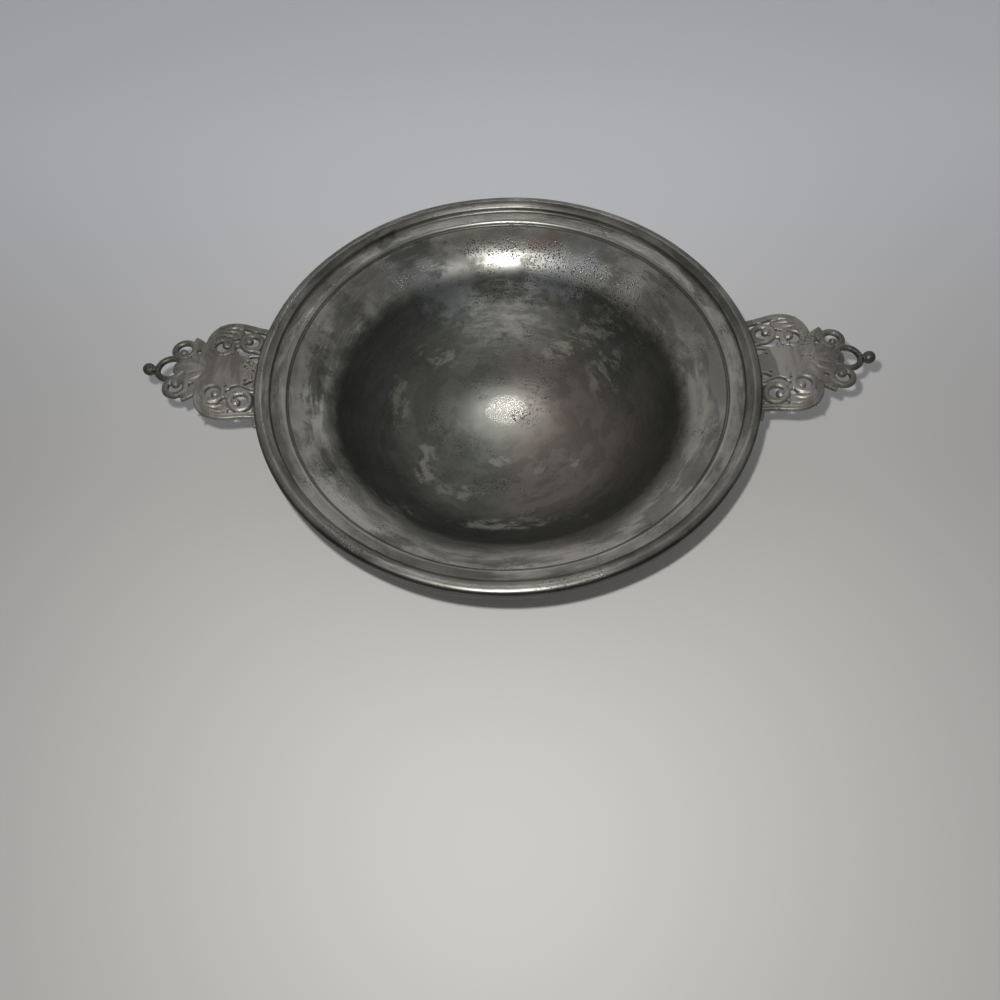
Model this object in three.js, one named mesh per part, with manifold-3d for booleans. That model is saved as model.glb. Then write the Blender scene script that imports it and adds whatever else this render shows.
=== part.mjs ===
// A two-eared pewter bowl: a cast and turned bowl with a reeded rim, two pierced cast ears
// soldered under its flange, and a low foot ring. Millimetres, +Z up. The origin is on the
// bowl's axis, on the surface that the foot stands on. The ears lie along X.
import * as THREE from 'three';
import { mergeVertices } from 'three/addons/utils/BufferGeometryUtils.js';
import Module from 'manifold-3d';

const wasm = await Module();
wasm.setup();

// Bowl: depths are measured down from the crown of the lip, and the foot holds its back up
const rimRadius = 130;
const floorDepth = 66;
const wall = 2.6;
const standHeight = 4.4;
const rimHeight = floorDepth + wall + standHeight;
const throatRadius = 92.5;
const throatDepth = 24;
const shoulderRadius = 97.5;
const shoulderDepth = 15;
const heelRadius = 60;
const wallBulgeRadius = 78;
const wallBulgeDepth = 60;

// Rim: a rounded lip, a plain band, then a fine bead with a groove inside it
const lipWidth = 6.8;
const lipDrop = 3.6;
const lipFace = 6;
const lipRounding = 1.3;
const lipStep = 1.4;
const bandWidth = 7.4;
const bandDrop = 2.7;
const beadRadius = 0.9;
const grooveWidth = 1.2;
const grooveDepth = 1.1;
const flangeStep = 0.7;

// Foot ring
const footRadius = 56;
const footWidth = 5.5;
const footFlare = 1.6;
const footEdge = 0.8;

// Ears: "out" is measured outward from the rim's edge, "side" sideways from the ear's middle
const earThickness = 3;
const earDrop = 5;
const earTipDrop = 0.4;
const rootTuck = 12;
const rootBand = 2.2;
const rootHalfWidth = 27.5;
const shieldHalfWidth = 9.4;
const bracketHalfWidth = 34;
const bracketOut = 2.6;
const bracketThickness = 3;
const bracketDrop = 6.6;
const bigLobe = { out: 14.5, side: 17, radius: 15 };
const smallLobe = { out: 40.3, side: 12.2, radius: 6.6 };
const endLoop = { out: 45.2, radius: 8.2 };
const waist = { out: 29, side: 15.5 };
const nib = { out: 35.6, side: 20.3 };
const flareBack = 5;
const strapRadius = 1.3;
const lobeStrap = 3.4;
const strapHeight = 2.1;
const cordRise = 1.2;
const innerBead = { radius: 2, sunk: 0.9 };
const innerBeadTurn = -80;
const ball = { out: 56.3, radius: 3.3 };
const moonEdge = { halfLength: 4.5, halfWidth: 6.2 };
const neckHalfWidth = 1.5;
const rootVolute = { out: 6.5, side: 19.5, radius: 6.4 };
const outerVolute = { out: 20.8, side: 15, radius: 6.4 };
const curlBead = { radius: 2.1, sunk: 0.9 };
const rootCurlTurn = 30;
const outerCurlTurn = 145;
const leaf = { around: 56, halfLength: 5, halfWidth: 2.5, sunk: 0.9 };
const fanRoot = { out: 24, start: 2, rise: 1.2 };
const petals = [
  { angle: 0, length: 17, halfWidth: 2.7 },
  { angle: 23, length: 14.5, halfWidth: 1.9 },
  { angle: 44, length: 10.5, halfWidth: 1.8 },
];

// The drop-shaped piercing between the fan and each small lobe
const drop = { out: 32.8, side: 10.7, halfLength: 1.8, halfWidth: 1, turn: 45 };

// Joints
const jointGap = 0.3;
const seamRadius = 1.5;

// Fineness of the round shapes
const turnSteps = 64;
const flangeSteps = 5;
const wellSteps = 10;
const holeSteps = 11;
const discSteps = 24;
const ridgeSides = 6;
const ridgeSteps = 16;
const cordSteps = 24;
const beadSteps = { round: 8, high: 6 };
const petalSteps = { round: 8, high: 5 };
const seamSides = 7;

const degrees = Math.PI / 180;
const cutHeight = 4 * earThickness;

// Solids: closed meshes go in, cut or joined ones come out
function solidOf(geometry) {
  const bare = geometry.index ? geometry.toNonIndexed() : geometry.clone();
  bare.deleteAttribute('normal');
  bare.deleteAttribute('uv');
  const merged = mergeVertices(bare, 1e-4);
  const corners = merged.index.array;
  const kept = [];
  for (let i = 0; i < corners.length; i += 3) {
    const [a, b, c] = [corners[i], corners[i + 1], corners[i + 2]];
    if (a !== b && b !== c && c !== a) {
      kept.push(a, b, c);
    }
  }
  return new wasm.Manifold(new wasm.Mesh({
    numProp: 3,
    vertProperties: new Float32Array(merged.attributes.position.array),
    triVerts: new Uint32Array(kept),
  }));
}

function geometryOf(solid) {
  const mesh = solid.getMesh();
  const geometry = new THREE.BufferGeometry();
  geometry.setAttribute('position', new THREE.BufferAttribute(mesh.vertProperties, 3));
  geometry.setIndex(new THREE.BufferAttribute(mesh.triVerts, 1));
  geometry.computeVertexNormals();
  return geometry;
}

function joined(solids) {
  return solids.reduce((whole, solid) => whole.add(solid));
}

// Profile points run counter-clockwise, radius across and height up
function turned(profile) {
  return solidOf(new THREE.LatheGeometry(profile, turnSteps).rotateX(Math.PI / 2));
}

// The bowl's inside, from the band to the middle of the floor
function insideCurves() {
  const bandStart = new THREE.Vector2(rimRadius - lipWidth, rimHeight - lipDrop - lipStep);
  const bandEnd = new THREE.Vector2(bandStart.x - bandWidth, bandStart.y - bandDrop);
  const flangeStart = new THREE.Vector2(
    bandEnd.x - 2 * beadRadius - grooveWidth,
    bandEnd.y - flangeStep,
  );
  const shoulder = new THREE.Vector2(shoulderRadius, rimHeight - shoulderDepth);
  const throat = new THREE.Vector2(throatRadius, rimHeight - throatDepth);
  const bulge = new THREE.Vector2(wallBulgeRadius, rimHeight - wallBulgeDepth);
  const heel = new THREE.Vector2(heelRadius, rimHeight - floorDepth);
  const middle = new THREE.Vector2(0, rimHeight - floorDepth);
  return {
    band: new THREE.LineCurve(bandStart, bandEnd),
    flange: new THREE.QuadraticBezierCurve(flangeStart, shoulder, throat),
    well: new THREE.CubicBezierCurve(throat, bulge, heel, middle),
  };
}

function offsetPoints(curve, steps, distance) {
  const points = [];
  for (let i = 0; i <= steps; i += 1) {
    const point = curve.getPoint(i / steps);
    const tangent = curve.getTangent(i / steps);
    points.push(new THREE.Vector2(
      point.x - tangent.y * distance,
      point.y + tangent.x * distance,
    ));
  }
  return points;
}

// The back of the bowl and the lip's outer face, moved out by a clearance where one is asked for
function outsideProfile(clearance) {
  const { band, flange, well } = insideCurves();
  const distance = wall + clearance;
  const back = [
    ...offsetPoints(well, wellSteps, distance).reverse(),
    ...offsetPoints(flange, flangeSteps, distance).reverse().slice(1),
    ...offsetPoints(band, 1, distance).reverse().slice(1),
  ];
  back[0].setX(0);
  const edge = rimRadius + clearance;
  const under = rimHeight - lipFace - clearance;
  return [
    ...back,
    new THREE.Vector2(edge - lipRounding, under),
    new THREE.Vector2(edge, under + lipRounding / 2),
  ];
}

function lipProfile() {
  const centre = new THREE.Vector2(rimRadius - lipRounding, rimHeight - lipRounding);
  const points = [];
  for (let angle = 0; angle <= 120; angle += 30) {
    points.push(new THREE.Vector2(
      centre.x + lipRounding * Math.cos(angle * degrees),
      centre.y + lipRounding * Math.sin(angle * degrees),
    ));
  }
  const inner = rimRadius - lipWidth;
  points.push(new THREE.Vector2(inner + lipRounding / 2, rimHeight - lipDrop + lipRounding / 2));
  points.push(new THREE.Vector2(inner, rimHeight - lipDrop));
  return points;
}

function reedProfile(bandEnd) {
  const points = [];
  for (let angle = 30; angle <= 150; angle += 40) {
    points.push(new THREE.Vector2(
      bandEnd.x - beadRadius + beadRadius * Math.cos(angle * degrees),
      bandEnd.y + beadRadius * Math.sin(angle * degrees),
    ));
  }
  const grooveRadius = bandEnd.x - 2 * beadRadius - grooveWidth / 4;
  points.push(new THREE.Vector2(grooveRadius, bandEnd.y - grooveDepth));
  return points;
}

function makeBowl() {
  const { band, flange, well } = insideCurves();
  const profile = [
    ...outsideProfile(0),
    ...lipProfile(),
    band.v1,
    band.v2,
    ...reedProfile(band.v2),
    ...flange.getPoints(flangeSteps),
    ...well.getPoints(wellSteps).slice(1),
  ];
  return turned(profile);
}

// The space that the bowl fills, with the clearance that a soldered piece keeps to it
function bowlSpace() {
  const profile = outsideProfile(jointGap);
  profile.push(new THREE.Vector2(rimRadius + jointGap, rimHeight + lipRounding));
  profile.push(new THREE.Vector2(0, rimHeight + lipRounding));
  return turned(profile);
}

// The height of the bowl's back at a radius
function backHeight(radius) {
  const back = outsideProfile(0);
  const after = back.findIndex((point) => point.x >= radius);
  const [a, b] = [back[after - 1], back[after]];
  return a.y + (b.y - a.y) * (radius - a.x) / (b.x - a.x);
}

function footProfile(top) {
  const inner = footRadius - footWidth;
  return [
    new THREE.Vector2(inner, footEdge),
    new THREE.Vector2(inner + footEdge, 0),
    new THREE.Vector2(footRadius + footFlare - footEdge, 0),
    new THREE.Vector2(footRadius + footFlare, footEdge),
    new THREE.Vector2(footRadius, footEdge + 2 * footFlare),
    new THREE.Vector2(footRadius, top),
    new THREE.Vector2(inner, top),
    new THREE.Vector2(inner, footEdge),
  ];
}

function makeFoot() {
  const top = backHeight(footRadius) + wall;
  return turned(footProfile(top)).subtract(bowlSpace());
}

function seamCircle(radius, height) {
  const points = [];
  for (let i = 0; i <= seamSides; i += 1) {
    const angle = 2 * Math.PI * i / seamSides;
    points.push(new THREE.Vector2(
      radius + seamRadius * Math.cos(angle),
      height + seamRadius * Math.sin(angle),
    ));
  }
  points[points.length - 1].copy(points[0]);
  return points;
}

// The fillet of solder outside the foot ring, in the corner under the bowl
function makeFootSeam() {
  const outer = footRadius + jointGap;
  const keptOut = turned([
    new THREE.Vector2(0, -footEdge),
    new THREE.Vector2(outer, -footEdge),
    new THREE.Vector2(outer, rimHeight),
    new THREE.Vector2(0, rimHeight),
  ]);
  const corner = seamCircle(footRadius, backHeight(footRadius));
  return turned(corner).subtract(bowlSpace()).subtract(keptOut);
}

// Flat pieces of an ear, extruded around the middle of its thickness
function slab(shape, thickness = earThickness) {
  const geometry = new THREE.ExtrudeGeometry(shape, {
    depth: thickness,
    bevelEnabled: false,
  });
  return solidOf(geometry.translate(0, 0, -thickness / 2));
}

function ellipseShape(out, side, halfLength, halfWidth, turn, steps) {
  const curve = new THREE.EllipseCurve(out, side, halfLength, halfWidth, 0, 2 * Math.PI, false, turn);
  return new THREE.Shape(curve.getPoints(steps).slice(0, -1));
}

function disc({ out, side = 0, radius }, sign = 1) {
  return slab(ellipseShape(out, sign * side, radius, radius, 0, discSteps));
}

function polygon(points) {
  return slab(new THREE.Shape(points.map(([out, side]) => new THREE.Vector2(out, side))));
}

function hole(out, side, halfLength, halfWidth, turn) {
  const shape = ellipseShape(out, side, halfLength, halfWidth, turn * degrees, holeSteps);
  return slab(shape, cutHeight);
}

function drill({ out, side = 0, radius }, sign = 1) {
  const shape = ellipseShape(out, sign * side, radius, radius, 0, discSteps);
  return slab(shape, cutHeight);
}

function openLoop(place, strap) {
  return { ...place, radius: place.radius - strap };
}

// A rounded strap bent into a ring, as thick as the plate
function loop(place, sign = 1) {
  const ring = new THREE.TorusGeometry(
    place.radius - strapRadius,
    strapRadius,
    ridgeSides,
    ridgeSteps,
  );
  ring.scale(1, 1, strapHeight / strapRadius);
  return solidOf(ring.translate(place.out, sign * (place.side ?? 0), 0));
}

// The bead that a scroll's inner end closes in, against the inside of its loop
function curl(place, turn, sign, bead = curlBead) {
  const reach = place.radius - 2 * strapRadius - bead.radius + bead.sunk;
  const out = place.out + reach * Math.cos(turn * degrees);
  const side = place.side + reach * Math.sin(turn * degrees);
  return roundBead(out, sign * side, bead.radius);
}

// The raised cord along the free edge of a big lobe
function lobeCord(sign) {
  const radius = bigLobe.radius - strapRadius;
  const cord = new THREE.TorusGeometry(radius, strapRadius, ridgeSides, cordSteps);
  cord.translate(bigLobe.out, sign * bigLobe.side, cordRise);
  const span = 2 * bigLobe.radius;
  const keep = new THREE.BoxGeometry(span, span, span);
  const lowest = sign * (bigLobe.side + bigLobe.radius);
  return solidOf(cord).intersect(solidOf(keep.translate(bigLobe.out + strapRadius, lowest, 0)));
}

function roundBead(out, side, radius) {
  const bead = new THREE.SphereGeometry(radius, beadSteps.round, beadSteps.high);
  return solidOf(bead.rotateX(Math.PI / 2).translate(out, side, 0));
}

// One petal of the fan between the lobes, half sunk in the plate
function petal({ angle, length, halfWidth }, sign) {
  const geometry = new THREE.SphereGeometry(1, petalSteps.round, petalSteps.high);
  geometry.rotateZ(Math.PI / 2);
  geometry.scale(length / 2, halfWidth, fanRoot.rise);
  geometry.translate(fanRoot.start + length / 2, 0, earThickness / 2);
  geometry.rotateZ(sign * angle * degrees);
  return solidOf(geometry.translate(fanRoot.out, 0, 0));
}

function fan() {
  const [middle, ...sides] = petals;
  return joined([
    petal(middle, 1),
    ...sides.flatMap((side) => [petal(side, 1), petal(side, -1)]),
  ]);
}

function halfPlate(sign) {
  const flare = [
    [waist.out - flareBack, 0],
    [smallLobe.out, 0],
    [smallLobe.out, sign * smallLobe.side],
    [nib.out, sign * nib.side],
    [waist.out, sign * waist.side],
  ];
  return joined([
    disc(bigLobe, sign).subtract(drill(openLoop(bigLobe, lobeStrap), sign)),
    polygon(sign > 0 ? flare : flare.reverse()).add(disc(smallLobe, sign)),
  ]);
}

function rectangle(fromOut, toOut, halfWidth) {
  return polygon([
    [fromOut, -halfWidth],
    [toOut, -halfWidth],
    [toOut, halfWidth],
    [fromOut, halfWidth],
  ]);
}

function earPlate() {
  return joined([
    halfPlate(1),
    halfPlate(-1),
    rectangle(-rootTuck, rootBand, rootHalfWidth),
    rectangle(-rootTuck, smallLobe.out, shieldHalfWidth),
    disc(endLoop),
    rectangle(endLoop.out, ball.out, neckHalfWidth),
  ]);
}

// The half-moon opening of the end loop
function endHole() {
  const radius = endLoop.radius - 2 * strapRadius;
  const round = hole(endLoop.out, 0, radius, radius, 0);
  const inner = hole(endLoop.out - radius, 0, moonEdge.halfLength, moonEdge.halfWidth, 0);
  return round.subtract(inner);
}

// The plate is cast flat and tilts up from its root to its tip
function tilted(solid) {
  const length = ball.out;
  const tilt = Math.atan2(earDrop - earTipDrop, length);
  const matrix = new THREE.Matrix4()
    .makeTranslation(rimRadius, 0, rimHeight - earDrop - earThickness / 2)
    .multiply(new THREE.Matrix4().makeRotationY(-tilt));
  return solid.transform(matrix.toArray());
}

// The strip along the rim that carries the plate, with rounded ends
function bracketProfile(clearance) {
  const top = rimHeight - bracketDrop + clearance;
  const bottom = rimHeight - bracketDrop - bracketThickness - clearance;
  const outer = rimRadius + bracketOut + clearance;
  const inner = rimRadius - rootTuck;
  return [
    new THREE.Vector2(inner, bottom),
    new THREE.Vector2(outer, bottom),
    new THREE.Vector2(outer, top),
    new THREE.Vector2(inner, top),
    new THREE.Vector2(inner, bottom),
  ];
}

function rootBlock(halfWidth) {
  const block = new THREE.BoxGeometry(4 * rootTuck, 2 * halfWidth, rimHeight);
  return solidOf(block.translate(rimRadius, 0, rimHeight));
}

function bracket(clearance) {
  return turned(bracketProfile(clearance)).intersect(rootBlock(bracketHalfWidth + clearance));
}

// The leaf that grows from the inside of a big lobe's strap, over the outer volute
function lobeLeaf(sign) {
  const reach = bigLobe.radius - lobeStrap - leaf.halfWidth + leaf.sunk;
  return slab(ellipseShape(
    bigLobe.out + reach * Math.cos(leaf.around * degrees),
    sign * (bigLobe.side + reach * Math.sin(leaf.around * degrees)),
    leaf.halfLength,
    leaf.halfWidth,
    sign * (leaf.around - 90) * degrees,
    holeSteps,
  ));
}

function halfScrolls(sign) {
  return joined([
    loop(rootVolute, sign),
    loop(outerVolute, sign),
    loop(smallLobe, sign),
    curl(rootVolute, rootCurlTurn, sign),
    curl(outerVolute, outerCurlTurn, sign),
    curl(smallLobe, innerBeadTurn, sign, innerBead),
    lobeCord(sign),
    lobeLeaf(sign),
  ]);
}

function halfOpenings(sign) {
  return joined([
    drill(openLoop(smallLobe, 2 * strapRadius), sign),
    drill(openLoop(outerVolute, 2 * strapRadius), sign),
    hole(drop.out, sign * drop.side, drop.halfLength, drop.halfWidth, sign * drop.turn),
  ]);
}

function makeEar() {
  const plate = earPlate()
    .subtract(halfOpenings(1))
    .subtract(halfOpenings(-1))
    .subtract(endHole());
  const cast = joined([
    plate,
    fan(),
    loop(endLoop),
    halfScrolls(1),
    halfScrolls(-1),
    roundBead(ball.out, 0, ball.radius),
  ]);
  return tilted(cast).add(bracket(0)).subtract(bowlSpace());
}

// The fillet of solder under an ear's strip, in the corner against the flange
function makeEarSeam() {
  const bottom = rimHeight - bracketDrop - bracketThickness;
  const back = outsideProfile(0);
  const after = back.findIndex((point) => point.y >= bottom);
  const [a, b] = [back[after - 1], back[after]];
  const radius = a.x + (b.x - a.x) * (bottom - a.y) / (b.y - a.y);
  return turned(seamCircle(radius, bottom))
    .intersect(rootBlock(rootHalfWidth))
    .subtract(bowlSpace())
    .subtract(bracket(jointGap));
}

// Finish: old pewter, with the ears greyer and the solder a little brighter
function pewter(colour, roughness) {
  return new THREE.MeshStandardMaterial({ color: colour, roughness, metalness: 0.9 });
}

function piece(name, solid, material, turn = 0) {
  const mesh = new THREE.Mesh(geometryOf(solid), material);
  mesh.name = name;
  mesh.rotation.z = turn;
  return mesh;
}

const porringer = new THREE.Group();
const ear = makeEar();
const earSeam = makeEarSeam();
porringer.add(
  piece('bowl_body', makeBowl(), pewter(0x5e5e58, 0.45)),
  piece('foot_ring', makeFoot(), pewter(0x62625c, 0.5)),
  piece('foot_seam', makeFootSeam(), pewter(0x7c7c78, 0.4)),
  piece('ear_right', ear, pewter(0x6f6d68, 0.5)),
  piece('ear_left', ear, pewter(0x6f6d68, 0.5), Math.PI),
  piece('ear_seam_right', earSeam, pewter(0x7c7c78, 0.4)),
  piece('ear_seam_left', earSeam, pewter(0x7c7c78, 0.4), Math.PI),
);

export default porringer;
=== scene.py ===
# Two-eared pewter bowl on a pale floor. Sizes in the dictionaries are in millimetres.
import math

import bmesh
import bpy
from mathutils import Matrix, Vector, noise


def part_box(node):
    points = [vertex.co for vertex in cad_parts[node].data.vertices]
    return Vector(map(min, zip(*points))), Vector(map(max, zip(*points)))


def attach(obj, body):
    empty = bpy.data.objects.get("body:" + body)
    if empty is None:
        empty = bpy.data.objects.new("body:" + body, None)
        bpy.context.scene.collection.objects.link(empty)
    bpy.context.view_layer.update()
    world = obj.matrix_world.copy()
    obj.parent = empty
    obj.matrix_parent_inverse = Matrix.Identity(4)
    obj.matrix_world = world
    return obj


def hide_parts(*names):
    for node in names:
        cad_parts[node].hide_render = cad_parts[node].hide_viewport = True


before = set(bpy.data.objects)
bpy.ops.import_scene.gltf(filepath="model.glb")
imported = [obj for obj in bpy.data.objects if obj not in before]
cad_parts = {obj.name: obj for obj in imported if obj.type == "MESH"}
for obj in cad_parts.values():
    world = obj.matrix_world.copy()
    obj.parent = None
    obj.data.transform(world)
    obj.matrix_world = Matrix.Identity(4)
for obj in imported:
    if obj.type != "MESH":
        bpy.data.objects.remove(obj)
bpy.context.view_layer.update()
mm = 0.001
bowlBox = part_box("bowl_body")
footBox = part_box("foot_ring")
print("frame loaded")


# Shape helpers. Flat points are pairs in millimetres.
def between(a, b, share):
    return a + (b - a) * share


def bezier(points, steps):  # one handle, or two
    first, *handles, last = [Vector(p) for p in points]
    if len(handles) == 1:
        handles = [first.lerp(handles[0], 2 / 3), last.lerp(handles[0], 2 / 3)]
    line = []
    for i in range(steps + 1):
        t = i / steps
        line.append(first * (1 - t) ** 3 + handles[0] * 3 * t * (1 - t) ** 2
                    + handles[1] * 3 * t * t * (1 - t) + last * t ** 3)
    return line


def arc(centre, radius, fromTurn, toTurn, steps=32):  # turns in degrees
    points = []
    for i in range(steps + 1):
        turn = math.radians(between(fromTurn, toTurn, i / steps))
        points.append(Vector((centre[0] + radius * math.cos(turn), centre[1] + radius * math.sin(turn))))
    return points


def through(points, steps=8):  # a smooth line through a few points
    knots = [Vector(p) for p in points]
    line = []
    for i in range(len(knots) - 1):
        before, a = knots[max(i - 1, 0)], knots[i]
        b, after = knots[i + 1], knots[min(i + 2, len(knots) - 1)]
        line += bezier([a, a + (b - before) / 6, b - (after - a) / 6, b], steps)[:-1]
    return line + [knots[-1]]


def moved(line, distance):  # a line moved to its left
    out = []
    for i, point in enumerate(line):
        along = (line[min(i + 1, len(line) - 1)] - line[max(i - 1, 0)]).normalized()
        out.append(point + Vector((-along.y, along.x)) * distance)
    return out


def flipped(line, sign):
    return [Vector((p[0], sign * p[1])) for p in line]


def spun(profile, steps, closed=False):  # turns a profile of radius and height round the bowl's axis
    bm = bmesh.new()
    verts = [bm.verts.new((r * mm, 0, z * mm)) for r, z in profile]
    edges = [bm.edges.new(pair) for pair in zip(verts, verts[1:])]
    if closed:
        edges.append(bm.edges.new((verts[-1], verts[0])))
    bmesh.ops.spin(bm, geom=verts + edges, cent=(0, 0, 0), axis=(0, 0, 1), angle=2 * math.pi,
                   steps=steps, use_merge=True)
    bmesh.ops.remove_doubles(bm, verts=bm.verts, dist=0.001 * mm)
    bmesh.ops.recalc_face_normals(bm, faces=bm.faces)
    return bm


def swept(profile, half, steps, turn=0):  # turns a filled profile by an angle to each side of a direction
    bm = bmesh.new()
    verts = [bm.verts.new((r * mm, 0, z * mm)) for r, z in profile]
    face = bm.faces.new(verts)
    start = Matrix.Rotation(math.radians(turn) - half, 3, "Z")
    bmesh.ops.rotate(bm, verts=verts, cent=(0, 0, 0), matrix=start)
    bmesh.ops.spin(bm, geom=verts + face.edges[:] + [face], cent=(0, 0, 0), axis=(0, 0, 1),
                   angle=2 * half, steps=steps)
    bmesh.ops.recalc_face_normals(bm, faces=bm.faces)
    return bm


def newPiece(name, bm, materials, slot, *nodes):
    mesh = bpy.data.meshes.new(name)
    bm.to_mesh(mesh)
    bm.free()
    mesh.shade_smooth()
    for material in materials:
        mesh.materials.append(material)
    piece = bpy.data.objects.new(name, mesh)
    bpy.context.scene.collection.objects.link(piece)
    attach(piece, "root")
    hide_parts(*nodes)
    print(name, len(mesh.polygons), "faces")


# Material helpers
def linear(code):
    channels = [int(code[i:i + 2], 16) / 255 for i in (1, 3, 5)]
    return [c / 12.92 if c <= 0.04045 else ((c + 0.055) / 1.055) ** 2.4 for c in channels] + [1]


modes = {"Math": "operation", "VectorMath": "operation", "Mix": "data_type", "MapRange": "interpolation_type"}


def add(tree, kind, *values, out=0):  # a node such as "Math ADD", with its values and links; gives one output
    kind, *mode = kind.split()
    node = tree.nodes.new("ShaderNode" + kind)
    if mode:
        setattr(node, modes[kind], mode[0])
    for place, value in zip([place for place in node.inputs if place.enabled], values):
        if isinstance(value, bpy.types.NodeSocket):
            tree.links.new(value, place)
        elif value is not None:
            place.default_value = linear(value) if isinstance(value, str) else value
    if isinstance(out, str):
        return node.outputs[out]
    return [place for place in node.outputs if place.enabled][out]


def newMaterial(name):
    material = bpy.data.materials.new(name)
    material.use_nodes = True
    return material, material.node_tree, material.node_tree.nodes["Principled BSDF"]


def torn(tree, place, size, low, high, detail=4.0, roughness=0.6, shift=(0, 0, 0)):  # patches, 0 to 1
    shifted = add(tree, "VectorMath ADD", place, shift)
    value = add(tree, "TexNoise", shifted, 1 / (size * mm), detail, roughness, 2.0, 0.2)
    return add(tree, "MapRange SMOOTHSTEP", value, low, high)


# Old pewter: cast, turned on a lathe, then dulled by years of use. It is a soft grey with a low sheen,
# dark where oxide and dirt sit, rubbed pale where hands and spoons wear it, and pitted.
pewter = {
    "clean": "#9e9c94", "dull": "#7d7b74", "dark": "#3f3f3b", "black": "#1f1e1c", "pale": "#b3b2aa",
    "metallic": 0.9, "polish": 0.32, "dullness": 0.5,
    "cloudSize": 42, "patchSize": 15, "grainSize": 0.9, "turnPitch": 1.0, "turnReach": 5, "smearReach": 30,
    "pitSize": 1.15, "largePitSize": 2.8, "pittingSize": 24,
    "grainDepth": 0.012, "turnDepth": 0.025, "pitDepth": 0.12,
    "patchStrength": 0.5, "pitStrength": 0.85, "grainRoughness": 0.1,
}


def startPewter(tree):  # the places and patterns that every pewter finish starts from
    place = add(tree, "TexCoord", out="Object")
    x, y, z = [add(tree, "SeparateXYZ", place, out=axis) for axis in "XYZ"]
    flat = add(tree, "CombineXYZ", x, y, 0.0)
    radius = add(tree, "VectorMath LENGTH", flat)
    p = {"place": place, "x": x, "y": y, "z": z, "radius": radius}
    # Marks of the lathe run round the axis: slow that way, quick across it
    heading = add(tree, "VectorMath NORMALIZE", flat)
    across = add(tree, "CombineXYZ", 0.0, 0.0, add(tree, "Math ADD", radius, z))
    for name, reach in (("turned", pewter["turnReach"]), ("smeared", pewter["smearReach"])):
        around = add(tree, "VectorMath SCALE", heading, add(tree, "Math MINIMUM", radius, reach * mm))
        p[name] = add(tree, "VectorMath ADD", around, across)
    p["clouds"] = torn(tree, place, pewter["cloudSize"], 0.36, 0.64, 5.0)
    p["patches"] = torn(tree, p["smeared"], pewter["patchSize"], 0.47, 0.56, 7.0, 0.62, (0.3, 0.1, 0.2))
    fine = add(tree, "TexVoronoi", place, 1 / (pewter["pitSize"] * mm), 0.0)
    large = add(tree, "TexVoronoi", place, 1 / (pewter["largePitSize"] * mm), 0.0)
    p["pits"] = add(tree, "Math MAXIMUM", add(tree, "MapRange SMOOTHSTEP", fine, 0.4, 0.2),
                    add(tree, "MapRange SMOOTHSTEP", large, 0.26, 0.1))
    p["pitting"] = torn(tree, place, pewter["pittingSize"], 0.48, 0.64, 4.0, 0.7, (0, 0.7, 0.1))
    p["grain"] = add(tree, "TexNoise", place, 1 / (pewter["grainSize"] * mm), 3.0, 0.6)
    # Aged metal: clouds of clean and dull, torn dark patches that are rougher
    colour = add(tree, "Mix RGBA", p["clouds"], pewter["dull"], pewter["clean"])
    patches = add(tree, "Math MULTIPLY", p["patches"], pewter["patchStrength"])
    p["colour"] = add(tree, "Mix RGBA", patches, colour, pewter["dark"])
    smooth, rough = pewter["polish"], pewter["dullness"]
    p["roughness"] = add(tree, "MapRange LINEAR", p["patches"], 0.0, 1.0, smooth, rough)
    return p


def finishPewter(tree, shader, p, turnDepth):
    pits = add(tree, "Math MULTIPLY", p["pits"], p["pitting"])
    blackened = add(tree, "Math MULTIPLY", pits, pewter["pitStrength"])
    colour = add(tree, "Mix RGBA", blackened, p["colour"], pewter["black"])
    lines = add(tree, "TexNoise", p["turned"], 1 / (pewter["turnPitch"] * mm), 2.0, 0.6)
    height = add(tree, "Math MULTIPLY_ADD", p["grain"], pewter["grainDepth"],
                 add(tree, "Math MULTIPLY", lines, turnDepth))
    height = add(tree, "Math SUBTRACT", height, add(tree, "Math MULTIPLY", pits, pewter["pitDepth"]))
    smoother = add(tree, "Math SUBTRACT", p["roughness"], pewter["grainRoughness"] / 2)
    roughness = add(tree, "Math MULTIPLY_ADD", p["grain"], pewter["grainRoughness"], smoother)
    bump = add(tree, "Bump", 1.0, mm, None, height)
    shader.inputs["Metallic"].default_value = pewter["metallic"]
    for value, name in ((colour, "Base Color"), (roughness, "Roughness"), (bump, "Normal")):
        tree.links.new(value, shader.inputs[name])


# Turned pewter of the outside and the foot: plain grey, with lathe lines
def makeTurnedPewter():
    material, tree, shader = newMaterial("turnedPewter")
    finishPewter(tree, shader, startPewter(tree), pewter["turnDepth"])
    return material


# Turned pewter of the inside, stained by food, with light and shade painted in places. Each mark has a place,
# half sizes and a strength.
inside = {
    "green": "#51544c", "brown": "#5b514a", "rust": "#82655d", "paintedSteelSheen": "#7f8489", "crust": "#a09c90",
    "tarnish": "#3e403c", "tarnishRoughness": 0.58, "floorRoughness": 0.42, "centreRoughness": 0.32,
    "shineRoughness": 0.25, "rimRoughness": 0.38, "stainRoughness": 0.12,
    "unevenSize": 9, "reachWobble": 6, "heightWobble": 4,
    "wellFrom": 54, "wellTo": 43.5, "wallFrom": 54, "wallTo": 74, "centreFrom": 62, "centreTo": 26,
    "greenTo": -18, "brownFrom": 26, "backFrom": 40, "backTo": 66, "backHalf": 36, "backCore": 12,
    "floorStrength": 0.75, "shineStrength": 0.5, "crustStrength": 0.6, "grimeStrength": 0.75,
    "pittingStrength": 0.7, "rimStrength": 0.8, "lipStrength": 0.12,
}
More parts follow.
